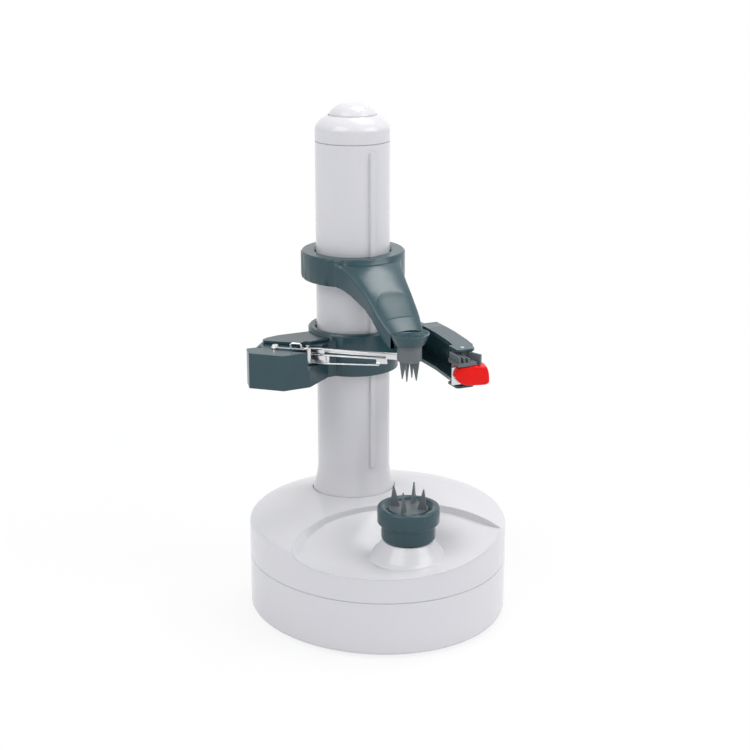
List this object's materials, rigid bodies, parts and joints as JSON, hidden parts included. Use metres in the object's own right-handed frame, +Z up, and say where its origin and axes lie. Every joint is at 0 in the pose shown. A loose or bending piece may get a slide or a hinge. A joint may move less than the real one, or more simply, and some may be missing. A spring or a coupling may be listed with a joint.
{
  "type": "electric peeler",
  "caption": "Tabletop electric rotary peeler: a low oval base with a geared food cup, a round tower with a sliding food holder arm, and a screw-driven carriage with a sprung blade arm.",
  "frame": {"origin": "bottom centre of the box: under the middle of the base's length and width, on the standing plane", "axes": "+Z up along tower and food spindle, -Y towards the front where the food spindle stands, +X to the right seen from the front"},
  "size_m": [0.14, 0.1456, 0.2744],
  "materials": {
    "white_shell": "glossy white moulded shell",
    "teal_grey": "glossy dark teal-grey moulding",
    "grey_plastic": "satin grey moulding",
    "red_plastic": "glossy red moulding",
    "steel": "bright stamped steel",
    "dark_steel": "zinc-plated steel",
    "rubber": "soft rubber",
    "gear_nylon": "natural nylon",
    "cell_foil": "foil-wrapped cell",
    "switch_black": "black switch body"
  },
  "bodies": {
    "base": {"base_tray": "white_shell", "base_cover": "white_shell", "foot_1": "rubber", "foot_2": "rubber", "foot_3": "rubber", "foot_4": "rubber", "base_screw_1": "dark_steel", "base_screw_2": "dark_steel", "base_screw_3": "dark_steel", "base_screw_4": "dark_steel", "battery_cell_1": "cell_foil", "battery_cell_2": "cell_foil", "battery_cell_3": "cell_foil", "battery_cell_4": "cell_foil", "gear_plate": "steel", "motor": "steel", "idler_axle": "steel", "compound_axle": "steel", "tower_tube": "white_shell", "tower_cap": "white_shell", "top_bearing": "grey_plastic", "power_switch": "switch_black"},
    "battery_door": {"battery_door": "white_shell"},
    "spindle": {"spindle_shaft": "steel", "spindle_gear": "gear_nylon", "food_cup": "teal_grey", "food_spikes": "grey_plastic"},
    "idler": {"idler_gear": "gear_nylon"},
    "compound": {"compound_gear": "gear_nylon"},
    "rotor": {"motor_shaft": "steel", "motor_pinion": "gear_nylon"},
    "lead_screw": {"lead_screw": "steel", "screw_gear": "gear_nylon"},
    "power_button": {"power_button": "white_shell"},
    "holder": {"holder_arm": "teal_grey"},
    "holder_release": {"holder_release": "grey_plastic"},
    "top_spike": {"top_spike": "grey_plastic", "top_spike_pin": "steel"},
    "carriage": {"carriage": "teal_grey", "collar_screw": "steel", "outrigger_lid": "teal_grey", "outrigger_post": "steel", "wire_hook": "steel", "strip_pin": "steel", "blade_arm_pin": "steel"},
    "carriage_catch": {"carriage_catch": "grey_plastic"},
    "steel_strip": {"steel_strip": "steel"},
    "blade_arm": {"blade_arm": "teal_grey", "carrier_pin": "steel"},
    "blade_head": {"blade_carrier": "grey_plastic", "blade_cap": "red_plastic", "peeling_blade": "steel"}
  },
  "joints": [
    {"name": "spindle_spin", "type": "hinge", "parent": "base", "child": "spindle", "pos_m": [0, -0.03793, 0], "axis": [0, 0, 1], "continuous": true},
    {"name": "idler_spin", "type": "hinge", "parent": "base", "child": "idler", "pos_m": [0.00875, -0.00146, 0], "axis": [0, 0, 1], "continuous": true},
    {"name": "compound_spin", "type": "hinge", "parent": "base", "child": "compound", "pos_m": [0.0296, -0.02716, 0], "axis": [0, 0, 1], "continuous": true},
    {"name": "motor_spin", "type": "hinge", "parent": "base", "child": "rotor", "pos_m": [0.03201, -0.00418, 0], "axis": [0, 0, 1], "continuous": true},
    {"name": "lead_screw_spin", "type": "hinge", "parent": "base", "child": "lead_screw", "pos_m": [0, 0.035, 0], "axis": [0, 0, 1], "continuous": true},
    {"name": "power_button_press", "type": "slide", "parent": "base", "child": "power_button", "axis": [0, 0, -1], "range_m": [0, 0.0015], "stiffness_N_per_m": 800, "springref_m": -0.0005},
    {"name": "holder_slide", "type": "slide", "parent": "base", "child": "holder", "axis": [0, 0, 1], "range_m": [-0.008, 0.05]},
    {"name": "holder_release_press", "type": "slide", "parent": "holder", "child": "holder_release", "axis": [0, -1, 0], "range_m": [0, 0.0012], "stiffness_N_per_m": 800, "springref_m": -0.0005},
    {"name": "top_spike_spin", "type": "hinge", "parent": "holder", "child": "top_spike", "pos_m": [0, -0.03793, 0.158], "axis": [0, 0, 1], "continuous": true},
    {"name": "carriage_slide", "type": "slide", "parent": "base", "child": "carriage", "axis": [0, 0, 1], "range_m": [-0.053, 0.013]},
    {"name": "carriage_catch_pull", "type": "slide", "parent": "carriage", "child": "carriage_catch", "axis": [0, 1, 0], "range_m": [0, 0.0028], "stiffness_N_per_m": 600, "springref_m": -0.0005},
    {"name": "strip_fold", "type": "hinge", "parent": "carriage", "child": "steel_strip", "pos_m": [-0.03497, 0.01595, 0.14], "axis": [0, 0, 1], "range_deg": [-24, 0]},
    {"name": "blade_arm_swing", "type": "hinge", "parent": "carriage", "child": "blade_arm", "pos_m": [0.037, 0.0413, 0.14], "axis": [0, 0, 1], "range_deg": [-10, 30], "stiffness_Nm_per_rad": 0.04},
    {"name": "blade_head_swivel", "type": "hinge", "parent": "blade_arm", "child": "blade_head", "pos_m": [0.03698, -0.0253, 0.14], "axis": [0, 0, 1], "range_deg": [-12, 12], "stiffness_Nm_per_rad": 0.01},
    {"name": "battery_door_slide", "type": "slide", "parent": "base", "child": "battery_door", "axis": [0, 0, -1], "range_m": [0, 0.03]}
  ],
  "couplings": [
    {"joint": "idler_spin", "follows": "spindle_spin", "ratio": -1.5},
    {"joint": "compound_spin", "follows": "spindle_spin", "ratio": -2.5},
    {"joint": "motor_spin", "follows": "spindle_spin", "ratio": 6.25},
    {"joint": "lead_screw_spin", "follows": "spindle_spin", "ratio": 1}
  ]
}
